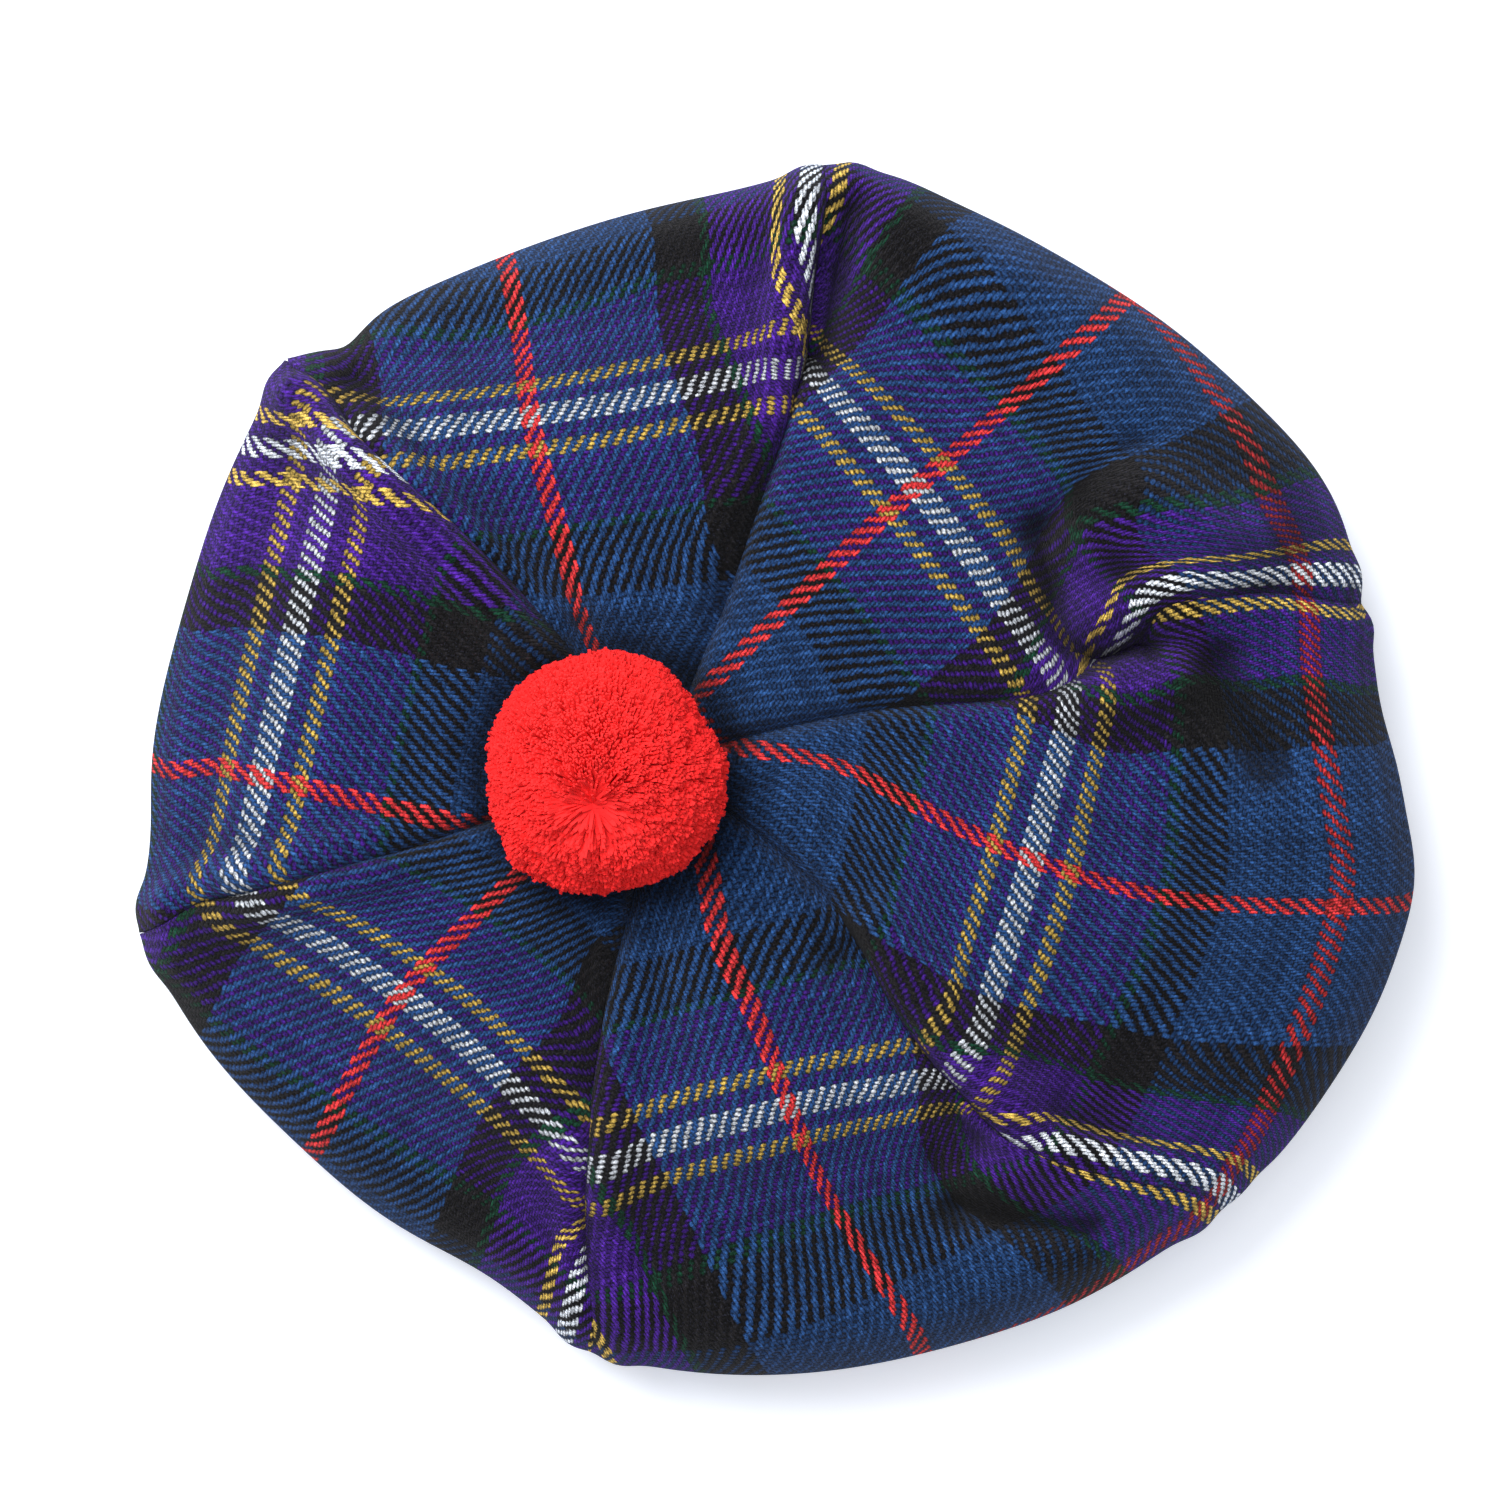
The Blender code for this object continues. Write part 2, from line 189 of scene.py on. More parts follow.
# Where the rim stands out, or in, beside what the lines give: a place across the gore (s), how
# wide, and how far.
Swell = namedtuple("Swell", "gore s wide out")
SWELLS = (
    Swell("a", -0.88, 0.18, -6.2),  # notch beside gore f's corner
    Swell("a", 0.75, 0.35, -1.5),
    Swell("b", -0.88, 0.15, 1.8),
    Swell("b", -0.3, 0.3, -1.1),
    Swell("b", 0.68, 0.33, 3.8),
    Swell("c", -0.72, 0.22, -3.2),
    Swell("c", -0.4, 0.15, -1),
    Swell("c", -0.2, 0.2, 1.4),
    Swell("c", 0.5, 0.3, -1.2),
    Swell("c", 0.93, 0.08, -2.5),
    Swell("d", -0.55, 0.3, 1.3),
    Swell("e", -0.6, 0.35, -4.2),
    Swell("e", 0.6, 0.35, 1.8),
    Swell("f", -0.65, 0.3, -2.6),
    Swell("f", 0.6, 0.3, 1.0),
)
SWELL_START, SWELL_END = (100.0, 146.0), (175.0, 215.0)  # where it grows and dies out
SWELL_EDGE = 8  # the higher, the closer to the seams it holds on

# Where the gathers hold the cloth of the crown aside: a place, how far, and over what width.
Pull = namedtuple("Pull", "x y right back width")
PULLS = (
    Pull(86, 47, -10, 0, 14),
    Pull(74, 56, -4, 2, 9),
    Pull(94, 30, -5, 4, 13),
    Pull(94, 8, 1.5, 8, 13),
    Pull(122, 12, 0, 7, 16),
    Pull(104, 62, -2, -5, 13),
    Pull(84, 78, 3, 0, 10),
    Pull(112, 32, 0, 4.5, 15),
)
PULLS_END = (128.0, 154.0)  # they die out between these places along the cloth

# Where the seams gather or ease the cloth, so that more or less of it is used up: a place in
# the gore (s across, t along), how wide, how long, and by how much across and along.
Gather = namedtuple("Gather", "gore s t wide long across along")
GATHERS = (
    Gather("a", 0, 35, 0.8, 20, 2.4, 0),
    Gather("a", 1, 41, 2.5, 11, 0, 5),
    Gather("a", 0.8, 55, 0.3, 18, 4.5, 0),
    Gather("a", 1, 97, 0.2, 14, 5, 0),
    Gather("a", -0.4, 130, 0.35, 18, 0, 4.5),
    Gather("a", 0.45, 140, 0.3, 18, -3, -4),
    Gather("b", -0.7, 135, 0.3, 30, 14, 0),
    Gather("b", -1, 95, 0.25, 20, -5, 0),
    Gather("b", 0.8, 45, 0.5, 15, 0, 4),
    Gather("b", 0.5, 112, 0.15, 12, 0, 4),
    Gather("b", 0.42, 124, 0.2, 15, 2.8, 0),
    Gather("b", 1, 107, 0.4, 12, 12, 3),
    Gather("b", 0.4, 134, 0.15, 12, 0, -4),
    Gather("b", 0.45, 150, 0.5, 25, 0, 4.5),
    Gather("b", 0.62, 158, 0.25, 30, -10, 0),
    Gather("b", 0.85, 130, 0.13, 25, 4, 0),
    Gather("c", 0.1, 18, 0.8, 9, -3.3, 0),
    Gather("c", 0, 42, 0.6, 14, 2.9, 0),
    Gather("c", -1, 104, 0.4, 15, 0, -3.2),
    Gather("c", -0.7, 150, 0.3, 25, 8, 0),
    Gather("c", -0.1, 150, 0.4, 30, 0, -2.5),
    Gather("c", 0.62, 140, 0.25, 35, -12, 0),
    Gather("c", -0.6, 165, 0.35, 25, 0, -3.5),
    Gather("d", 0.1, 50, 0.6, 22, -4.7, 0),
    Gather("d", 0.62, 142, 0.25, 25, -5.5, 0),
    Gather("e", -1, 52, 0.75, 17, -13, 2),
    Gather("e", -0.6, 92, 0.45, 26, -5, 0),
    Gather("e", -1, 145, 0.4, 25, -4.5, 0),
)
GATHER_EDGE = 4  # the higher, the closer to the seams a gather inside the gore holds on

# Where one gore's edge rolls over its neighbour: which seam of the gore, from where to where
# along it, how far it stands up and how far it leans over.
Lip = namedtuple("Lip", "gore side start end lift lean")
LIPS = (
    Lip("f", 1, 40, 150, 2.2, 1.8),
    Lip("c", 1, 50, 150, 2.2, 2.4),
    Lip("a", 1, 60, 150, 1.8, 0.7),
    Lip("d", 1, 35, 120, 2.0, 1.4),
    Lip("f", -1, 40, 150, 1.3, 1.0),
)
LIP_GROWS, LIP_ENDS = 25.0, 15.0  # lengths over which it rises and sinks again
LIP_WIDTH = 4.0  # its top is this wide, and lies this far off the seam
LEAN_OFF, LEAN_WIDTH = 2.0, 3.2  # it leans over most this far off the seam, and this wide
SEAM_TUCK, TUCK_WIDTH = 2.4, 2.6  # the turned-in edge dips this far, over this width
TUCK_END, RIM_TUCK = (110.0, 145.0), 0.15  # and over the rim by this share only
SEAM_PUFF, PUFF_WIDTH = 1.2, 4.5  # the cloth beside it stands a little proud,
PUFF_OFF = 6.0  # most so at this distance from the seam

CREASE_SHADE_SCALE = 1.8  # a place this far under its surroundings gets the full painted shade of a crease
CREASE_SHADE_REACH = 7  # how many cells to each side are its surroundings
CREASE_SHADE_END = (140.0, 165.0)  # and the painted crease shade ends between these places along the cloth
TOORIE_PAINTED_SHADOW = (25.0, 42.0)  # between these reaches a painted shadow of the toorie darkens the crown


# ---------------------------------------------------------------- the shape of the cloth


def plan(bearing, reach):
    """The place at a bearing and a reach from the middle of the crown."""
    return CROWN + reach * np.array([sin(radians(bearing)), cos(radians(bearing))])


def level(name, x):
    """How high the middles lie at a station."""
    return LEVELS[name].height + LEVELS[name].lean * x / LEAN_REACH


def crown_places(line, drop):
    """The line's places from the middle of the crown to its outer station."""
    places = [(*CROWN, level("crown", CROWN[0]))]
    for name in ("inner", "white", "outer"):
        x, y = plan(getattr(line, name + "_bearing"), getattr(line, name + "_reach"))
        places.append((x, y, level(name, x) - drop))
    return places


def band_places(line):
    """Where the line reaches the height of the band, and its end on the band."""
    bearing = radians(line.band_bearing)
    from_band = np.array([sin(bearing), cos(bearing)])
    seat = BAND_CENTRE + (BAND_RADIUS + SEAM_GAP) * from_band
    hem = seat + HEM * from_band
    return np.array([*hem, BAND_HEIGHT - CLOTH]), np.array([*seat, BAND_HEIGHT - CLOTH / 2])


def stations(line, drop):
    """The line's places (x, y, z), and the cloth's length up to each."""
    rim = plan(line.rim_bearing, line.rim_reach)
    height = level("rim", rim[0])
    hem, seat = band_places(line)
    room = np.linalg.norm(seat[:2] - rim)
    bend = min(height - LOWEST_BEND, BEND_SHARE * room)
    round_rim = []
    for angle in RIM_ANGLES:
        back = (1 - cos(radians(angle))) * bend
        x, y = rim + back * (unit(CROWN - rim) if angle > 0 else unit(seat[:2] - rim))
        round_rim.append((x, y, height + bend * sin(radians(angle))))
    under = round_rim[-1] + np.array(UNDERSIDE) * (hem - round_rim[-1])
    places = np.array([*crown_places(line, drop), *round_rim, under, hem, seat])
    shoulder_cloth = line.rim_cloth - radians(RIM_ANGLES[0]) * bend
    past_rim = np.cumsum(np.linalg.norm(np.diff(places[RIM_STATION:], axis=0), axis=1))
    lengths = [APEX_CLOTH, *STATIONS[1:3], line.outer_cloth, shoulder_cloth, line.rim_cloth]
    return places, np.concatenate([lengths, line.rim_cloth + past_rim])


def through(knots, values, slopes, t):
    """A curve through rows of values at knots, with the slopes that it has there, read at t."""
    i = np.clip(np.searchsorted(knots, t, side="right") - 1, 0, len(knots) - 2)
    gap = (knots[i + 1] - knots[i])[..., None]
    f = (t - knots[i])[..., None] / gap
    start, end = values[i], values[i + 1]
    leave, arrive = slopes[i] * gap, slopes[i + 1] * gap
    bend = 3 * (end - start) - 2 * leave - arrive
    return start + f * (leave + f * (bend + f * (2 * (start - end) + leave + arrive)))


def curve(knots, values, t):
    """A smooth curve through places at knots, read at t."""
    gaps = np.diff(knots)[:, None]
    steps = np.diff(values, axis=0) / gaps
    share = gaps[:-1] / (gaps[:-1] + gaps[1:])
    inner = steps[:-1] * (1 - share) + steps[1:] * share
    return through(knots, values, np.concatenate([steps[:1], inner, steps[-1:]]), t)


def steady(knots, values, t):
    """A smooth curve through rising numbers that never turns back, read at t."""
    steps = np.diff(values) / np.diff(knots)
    inner = 2 * steps[:-1] * steps[1:] / (steps[:-1] + steps[1:])
    slopes = np.concatenate([steps[:1], inner, steps[-1:]])
    return through(knots, values[:, None], slopes[:, None], t)[..., 0]


def along_line(line, drop, t):
    """Places on a line, and their places along the tartan, read at t."""
    places, cloth_lengths = stations(line, drop)
    steps = np.linalg.norm(np.diff(places, axis=0), axis=1)
    lengths = np.concatenate([[0.0], np.cumsum(steps)])
    reach = steady(STATIONS, lengths, t)
    return curve(lengths, places, reach), steady(lengths, cloth_lengths, reach)


def across_cut(cut, t):
    """How far the left seam, the middle and the right seam lie from the red stripe."""
    white = np.array([cut.white_left, cut.white_middle, cut.white_right])
    rows = [
        np.full(3, cut.apex),
        (white + cut.apex) / 2,
        white,
        np.array([cut.outer_left, cut.outer_middle, cut.outer_right]),
        np.array([cut.rim_left, cut.rim_middle, cut.rim_right]),
        cut.band_middle + BAND_CUT / 2 * np.array([-1, 0, 1]),
    ]
    return curve(CUT_STATIONS, np.array(rows, float), t)


def fade(t, start, end):
    """1 up to start, 0 from end, smooth between."""
    f = np.clip((t - start) / (end - start), 0, 1)
    return 1 - f * f * (3 - 2 * f)


def bell(distance, width):
    """1 at no distance, and next to nothing at twice the width."""
    return np.exp(-((distance / width) ** 2))


def unit(vectors):
    """The same ways, with a length of 1."""
    return vectors / np.maximum(np.linalg.norm(vectors, axis=-1, keepdims=True), TINY)


def off_toorie(places):
    """How far a place is from the middle of the toorie, in plan."""
    return np.hypot(places[..., 0] - TOORIE_CENTRE[0], places[..., 1] - TOORIE_CENTRE[1])


def fold_height(x, y):
    """How far the folds lift the crown at a place in plan."""
    lift = np.zeros_like(x)
    for fold in FOLDS:
        run = np.array([fold.x1 - fold.x0, fold.y1 - fold.y0])
        along = ((x - fold.x0) * run[0] + (y - fold.y0) * run[1]) / (run @ run)
        along = np.clip(along, 0, 1)
        off = np.hypot(x - fold.x0 - along * run[0], y - fold.y0 - along * run[1])
        lift += fold.height * bell(off, fold.width)
    return lift


def swell(gore, s, t):
    """How far the rim stands out, beside what the lines give."""
    out = sum(row.out * bell(s - row.s, row.wide) for row in SWELLS if row.gore == gore)
    return out * (1 - s**SWELL_EDGE) * (1 - fade(t, *SWELL_START)) * fade(t, *SWELL_END)


def pull_aside(places, share):
    """Shifts the cloth in plan to where the gathers hold it."""
    shift = np.zeros_like(places[..., :2])
    for pull in PULLS:
        off = np.hypot(places[..., 0] - pull.x, places[..., 1] - pull.y)
        shift += bell(off, pull.width)[..., None] * (pull.right, pull.back)
    places[..., :2] += shift * share[..., None]


def ease(gore, s, t):
    """How much more cloth the seams use up, across the tartan and along it."""
    across, along = np.zeros_like(s), np.zeros_like(s)
    for gather in GATHERS:
        if gather.gore != gore:
            continue
        share = bell(s - gather.s, gather.wide) * bell(t - gather.t, gather.long)
        if abs(gather.s) < 1:
            share *= 1 - s**GATHER_EDGE
        across += gather.across * share
        along += gather.along * share
    return across, along


def mix_lines(s, left, middle, right):
    """Reads across the gore: the left seam at -1, the middle at 0, the right seam at 1."""
    return s * (s - 1) / 2 * left + (1 - s * s) * middle + s * (s + 1) / 2 * right


def cloth(gore, s, t):
    """Middle of the gore's cloth, and its place in the flat tartan (u across, v along)."""
    cut = GORES[gore]
    left, left_v = along_line(SEAMS[cut.left_seam], SEAM_DROP, t)
    middle, middle_v = along_line(MIDDLES[gore], 0.0, t)
    right, right_v = along_line(SEAMS[cut.right_seam], SEAM_DROP, t)
    places = mix_lines(s[..., None], left, middle, right)
    across = across_cut(cut, t)
    more_across, more_along = ease(gore, s, t)
    u = mix_lines(s, across[..., 0], across[..., 1], across[..., 2]) + more_across
    v = mix_lines(s, left_v, middle_v, right_v) + more_along
    pull_aside(places, fade(t, *PULLS_END))
    lift = FOLD_DEPTH * fold_height(places[..., 0], places[..., 1])
    lift -= TIE_DIP * bell(off_toorie(places) - TOORIE_RADIUS, TIE_WIDTH)
    places[..., 2] += lift * fade(t, *FOLDS_END)
    outwards = unit(places[..., :2] - CROWN)
    places[..., :2] += swell(gore, s, t)[..., None] * outwards
    return places, u, v


def directions(places):
    """Ways across the cloth (clockwise), along it and out of it."""
    along = unit(np.gradient(places, axis=0))
    across = unit(np.gradient(places, axis=1))
    return across, along, unit(np.cross(across, along))


def lip_over(gore, side, off, t):
    """How far the edge at a seam stands up and leans over, at a distance off it."""
    rise, lean = np.zeros_like(off), np.zeros_like(off)
    for lip in LIPS:
        if (lip.gore, lip.side) != (gore, side):
            continue
        held = 1 - fade(t, lip.start, lip.start + LIP_GROWS)
        held = held * fade(t, lip.end - LIP_ENDS, lip.end)
        rise += lip.lift * held * bell(off - LIP_WIDTH, LIP_WIDTH)
        begun = np.clip(off / LEAN_OFF, 0, 1)
        lean += lip.lean * held * begun * bell(off - LEAN_OFF, LEAN_WIDTH)
    return rise, lean


def roll_edges(gore, places, u, t):
    """Turns the edges in at the seams, and rolls some of them over their neighbours.

    Gives the new places, and u with the cloth that the rolls use up.
    """
    across, along, out = directions(places)
    rolled = places.copy()
    for edge, side in ((0, -1), (-1, 1)):
        off = np.abs(u - u[:, [edge]])
        reach = places[:, edge, :2] - CROWN
        clockwise = np.stack([reach[:, 1], -reach[:, 0], 0 * reach[:, 0]], -1)
        seam_out = unit(np.cross(clockwise, along[:, edge]))[:, None]
        held = RIM_TUCK + (1 - RIM_TUCK) * fade(t, *TUCK_END)
        tuck = SEAM_TUCK * bell(off, TUCK_WIDTH) * held
        rise, lean = lip_over(gore, side, off, t)
        rise += SEAM_PUFF * bell(off - PUFF_OFF, PUFF_WIDTH)
        rolled += rise[..., None] * out + side * lean[..., None] * across
        rolled -= tuck[..., None] * seam_out
    rolled[..., 2] = np.maximum(rolled[..., 2], LOWEST_MIDDLE)
    steps = np.linalg.norm(np.diff(rolled, axis=1), axis=2)
    used = steps - np.linalg.norm(np.diff(places, axis=1), axis=2)
    used = np.pad(np.cumsum(np.maximum(used, 0), axis=1), ((0, 0), (1, 0)))
    return rolled, u + used - used[:, ACROSS // 2, None]


def blurred(values, reach):
    """The average over a square of cells, reach to each side."""
    padded = np.pad(values, reach, mode="reflect")
    for axis in (0, 1):
        sums = np.cumsum(np.insert(padded, 0, 0.0, axis=axis), axis=axis)
        count = sums.shape[axis]
        ahead = np.take(sums, range(2 * reach + 1, count), axis=axis)
        behind = np.take(sums, range(count - 2 * reach - 1), axis=axis)
        padded = (ahead - behind) / (2 * reach + 1)
    return padded


def painted_shade_depth(places, t):
    """Painted shade: 0 on open cloth, up to 1 at the bottom of a seam, in a fold and against
    the toorie.
    """
    height = places[..., 2]
    sunk_shade = (blurred(height, CREASE_SHADE_REACH) - height) / CREASE_SHADE_SCALE
    sunk_shade *= fade(t, *CREASE_SHADE_END)
    # sinking gives the painted crease shade, and nearness to the toorie its painted shadow
    return np.clip(sunk_shade + fade(off_toorie(places), *TOORIE_PAINTED_SHADOW), 0, 1)


# ---------------------------------------------------------------- pieces of cloth


def new_piece(name, shape, material, smooth=True):
    """One finished object from a bmesh in millimetres."""
    bmesh.ops.translate(shape, verts=shape.verts, vec=Vector(-OUTLINE_CENTRE))
    bmesh.ops.scale(shape, verts=shape.verts, vec=(MM, MM, MM))
    mesh = bpy.data.meshes.new(name)
    shape.to_mesh(mesh)
    shape.free()
    mesh.materials.append(material)
    if smooth:
        mesh.shade_smooth()
    piece = bpy.data.objects.new(name, mesh)
    bpy.context.collection.objects.link(piece)
    return piece


def dress(piece, node):
    """Puts a finished piece on the hat's one body, in the place of its CAD node."""
    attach(piece, "root")
    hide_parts(node)


def bend_grid(shape, places, u, v, crease):
    """A flat grid of cloth, moved to its places, that keeps its place in the tartan."""
    tartan = shape.loops.layers.uv.new("tartan")
    # each corner also keeps how much painted shade darkens its colour
    sunk_shade = shape.verts.layers.float.new("crease")
    rows, columns = places.shape[:2]
    grid = bmesh.ops.create_grid(shape, x_segments=columns - 1, y_segments=rows - 1, size=1)
    flat_u, flat_v, flat_painted_shade = u.reshape(-1), v.reshape(-1), crease.reshape(-1)
    # depth is the corner's painted shade
    for vert, place, depth in zip(grid["verts"], places.reshape(-1, 3), flat_painted_shade):
        vert.co = place
        vert[sunk_shade] = depth
    shape.verts.index_update()
    for face in shape.faces:
        for loop in face.loops:
            at = loop.vert.index
            loop[tartan].uv = (flat_u[at], flat_v[at])


def thicken(piece):
    """Gives a sheet the thickness of the cloth, half to each side."""
    thickness = piece.modifiers.new("thickness", "SOLIDIFY")
    thickness.thickness = CLOTH * MM
    thickness.offset = 0


def make_gore(gore, material):
    """The sheet of one gore, from the eyelet of the crown to the band."""
    s, t = np.meshgrid(
        np.linspace(-1, 1, ACROSS + 1), np.linspace(EYELET, STATIONS[-1], ALONG + 1)
    )
    places, u, v = cloth(gore, s, t)
    places, u = roll_edges(gore, places, u, t)
    shape = bmesh.new()
    bend_grid(shape, places, u, v, painted_shade_depth(places, t))
    bmesh.ops.recalc_face_normals(shape, faces=shape.faces)
    piece = new_piece("gore_" + gore + "_twill", shape, material)
    thicken(piece)
    dress(piece, "gore_" + gore)
    (u.max() - u.min()) * MM
    (v.max() - v.min()) * MM


def make_band(material):
    """The head band: a doubled strip of the same cloth, sewn into a ring."""
    turns = np.linspace(0, 2 * pi, BAND_TURNS + 1)
    heights = np.linspace(CLOTH / 2, BAND_HEIGHT - CLOTH / 2, BAND_ROWS + 1)
    turn, height = np.meshgrid(turns, heights)
    radius = BAND_RADIUS - CLOTH / 2
    x = BAND_CENTRE[0] + radius * np.sin(turn)
    y = BAND_CENTRE[1] + radius * np.cos(turn)
    places = np.stack([x, y, height], -1)
    shape = bmesh.new()
    bend_grid(shape, places, turn * radius, height + BAND_START, 0 * turn)
    bmesh.ops.remove_doubles(shape, verts=shape.verts, dist=WELD)
    bmesh.ops.recalc_face_normals(shape, faces=shape.faces)
    band = new_piece("head_band_twill", shape, material)
    thicken(band)
    rounding = band.modifiers.new("rounding", "BEVEL")
    rounding.width = BAND_ROUNDING * MM
    rounding.segments = 2
    rounding.limit_method = "ANGLE"
    dress(band, "head_band")


# ---------------------------------------------------------------- the toorie

# Its lengths are shares of its radius, and the angles off its whorl are radians.
NOISE_SEED = 5  # without a seed, noise_vector would differ from run to run
CORE = 0.885  # radius of the ball that the strands stand on
STRAND_SPLITS = 6  # of an icosphere, which makes 20,480 strands
STRAND_GAP = 0.005  # between the roots of the strands
ROOT_SHIFT, ROOT_GRAIN = 0.012, 31  # how uneven the roots are, and how fine that is
STRAND_LENGTH = 0.11
Ripple = namedtuple("Ripple", "size grain")
LENGTH_RIPPLES = (Ripple(0.03, 2.2), Ripple(0.02, 11), Ripple(0.025, 140))
LEAN_RIPPLES = (Ripple(0.045, 9), Ripple(0.03, 140))

WHORL = Vector((-0.096, -0.323, 0.94)).normalized()  # where the strands part
Ring = namedtuple("Ring", "size off wide")  # how much, how far off the whorl, how wide
PARTING = Ring(0.10, 0.15, 0.3)  # the strands lean away from it
CLUMPS = Ring(0.13, 0.2, 0.38)  # they stand together in clumps
PIT = Ring(0.09, 0.0, 0.16)  # and are shorter in its middle
CLUMP_GRAIN, CLUMP_DRIFT = 7, 1.5  # round the whorl and away from it

Tuft = namedtuple("Tuft", "bearing wide out")
TUFTS = (  # where the ball is flatter or fuller than round, with angles in degrees
    Tuft(60, 22, -0.10),
    Tuft(118, 22, 0.035),
    Tuft(215, 22, 0.06),
    Tuft(227, 7, 0.05),
    Tuft(277, 15, -0.025),
    Tuft(345, 12, -0.03),
)


def away_from_whorl(place):
    """The way off the whorl, along the ball, at a place on it."""
    return (place - WHORL * place.dot(WHORL)).normalized()


def ring_share(ring, place):
    """How much of a ring round the whorl a place on the ball has."""
    return ring.size * bell(place.angle(WHORL) - ring.off, ring.wide)


def strand_length(place):
    """How far a strand's end stands out of the core."""
    drift = Vector((0, 0, CLUMP_DRIFT * place.angle(WHORL)))
    clump = noise.noise(away_from_whorl(place) * CLUMP_GRAIN + drift)
    length = STRAND_LENGTH + clump * ring_share(CLUMPS, place) - ring_share(PIT, place)
    for ripple in LENGTH_RIPPLES:
        length += ripple.size * noise.noise(place * ripple.grain)
    for tuft in TUFTS:
        turn = (degrees(atan2(place.x, place.y)) - tuft.bearing + 180) % 360 - 180
        length += tuft.out * bell(turn, tuft.wide) * (1 - place.z**2)
    return length


def strand_lean(place):
    """How far a strand's end is carried aside."""
    lean = away_from_whorl(place) * ring_share(PARTING, place)
    for ripple in LEAN_RIPPLES:
        lean += ripple.size * noise.noise_vector(place * ripple.grain)
    return lean


def make_toorie(material):
    """The pompom: a ball of cut wool strands, that part in a whorl."""
    noise.seed_set(NOISE_SEED)
    shape = bmesh.new()
    bmesh.ops.create_icosphere(shape, subdivisions=STRAND_SPLITS, radius=1)
    for vert in shape.verts:
        vert.co += ROOT_SHIFT * noise.noise_vector(vert.co * ROOT_GRAIN)
    strands = shape.faces[:]
    bmesh.ops.inset_individual(shape, faces=strands, thickness=STRAND_GAP, depth=0.0)
    bmesh.ops.scale(shape, verts=shape.verts, vec=(CORE, CORE, CORE))
    for strand in strands:
        place = strand.calc_center_median().normalized()
        end = place * strand_length(place) + strand_lean(place)
        for vert in strand.verts:
            vert.co += end
    for vert in shape.verts:
        vert.co.x *= TOORIE_RADIUS
        vert.co.y *= TOORIE_RADIUS
        vert.co.z *= TOORIE_RISE if vert.co.z > 0 else TOORIE_DROP
    bmesh.ops.translate(shape, verts=shape.verts, vec=Vector(TOORIE_CENTRE))
    bmesh.ops.recalc_face_normals(shape, faces=shape.faces)
    toorie = new_piece("toorie_wool", shape, material, smooth=False)
    dress(toorie, "toorie")


# ---------------------------------------------------------------- materials

# The tartan's half repeat across the gore (from the red stripe) and along it (from the
# middle of a red stripe), as each colour's start.
HALF_SETT = 77.5
WARP_SETT = (
    ("red", 0.0),
    ("blue", 2.2),
    ("black", 33.0),
    ("green", 45.3),
    ("purple", 48.0),
    ("yellow", 67.6),
    ("purple", 71.2),
    ("white", 74.8),
)
WEFT_SETT = (
    ("red", 0.0),
    ("blue", 3.5),
    ("black", 30.9),
    ("green", 43.9),
    ("purple", 46.5),
    ("yellow", 65.4),
    ("purple", 69.7),
    ("white", 74.2),
)
WEFT_START = 17.5  # the first red weft stripe, from the middle of the crown
YARNS = {
    "red": (0.78, 0.042, 0.046),
    "blue": (0.017, 0.063, 0.195),
    "black": (0.011, 0.010, 0.011),
    "green": (0.005, 0.045, 0.022),
    "purple": (0.062, 0.013, 0.26),
    "yellow": (0.76, 0.51, 0.105),
    "white": (0.86, 0.91, 1.0),
}

WARP_PITCH, WEFT_PITCH = 0.72, 1.09  # from one yarn to the next
WARP_PROUD = 0.5  # the warp is the denser, so it hides part of the weft
WARP_ROUND = 0.9  # how far a warp yarn falls off to its sides, where a weft yarn falls 1
TWILL_TURN = pi / 2  # four yarns make one turn of over two and under two
WEFT_AHEAD = 3  # yarns, so that the weft is up where the warp is down
SLOW_SWAY, SLOW_GRAIN = 0.8, 0.3  # how far the yarns wander, and how often in a millimetre
QUICK_SWAY, QUICK_GRAIN = 0.35, 1.3

# Shades are what the yarn's colour is multiplied by, from and to. Spans are the heights or
# the noise that count as none and as full. Grains are how fine a noise is, per millimetre.
YARN_SHADES = (0.75, 1.25)  # no two yarns are dyed quite alike
PAINTED_WARP_SHADES = (0.88, 1.10)  # painted shade: the weft, and the lighter warp that lies over it
PAINTED_GAP_SHADES, GAP_SPAN = (0.06, 1.0), (-0.3, 1.5)  # painted shade between the yarns, and on their tops
FUZZ_SHADES, FUZZ_SPAN, FUZZ_GRAIN = (0.14, 2.14), (0.32, 0.68), 1.5
PATCH_SHADES, PATCH_GRAIN = (0.8, 1.2), 0.22
PAINTED_CREASE_SHADES = (1.0, 0.3)  # painted shade: open cloth, and a full crease
LINT_GLINT = (0.25, 0.27, 0.46)  # loose pale fibres on the cloth, painted partly as highlights of fuzz that catches the light
LINT_GLINT_COVER, LINT_GLINT_SPAN, LINT_GLINT_GRAIN = 0.12, (0.56, 0.76), 2.1
NAP = {"detail": 3.0, "roughness": 0.8}  # how the fuzz and the lint's painted glints are scattered
FUZZ_RELIEF = 1.2  # how high the fuzz is, in waves of the weave
WEAVE_RELIEF = 0.16  # how high a wave is, in millimetres

# painted shade: the strands' roots darker than their tips
SHADED_WOOL_ROOT, WOOL_TIP = (0.80, 0.018, 0.020), (0.95, 0.036, 0.036)
WOOL_SPAN = (0.84, 0.98)  # from root to tip, as shares of the toorie's radius, over which the painted shade between strands fades
FLECK_SHADES, FLECK_GRAIN = (0.6, 1.2), 900.0  # this grain is per metre

DULL = 0.1  # how much light every finish here mirrors
SHEEN_SPREAD = 0.5
MIX_SHARE, MIX_FROM, MIX_TO, MIX_RESULT = 0, 6, 7, 2  # a colour Mix node's sockets
TABLE_WHITE = (0.90, 0.93, 1.0)
DAYLIGHT = (0.90, 0.94, 1.0)
TABLE_GLOW = 0.34  # the table glows a little, to be as even as in the photograph


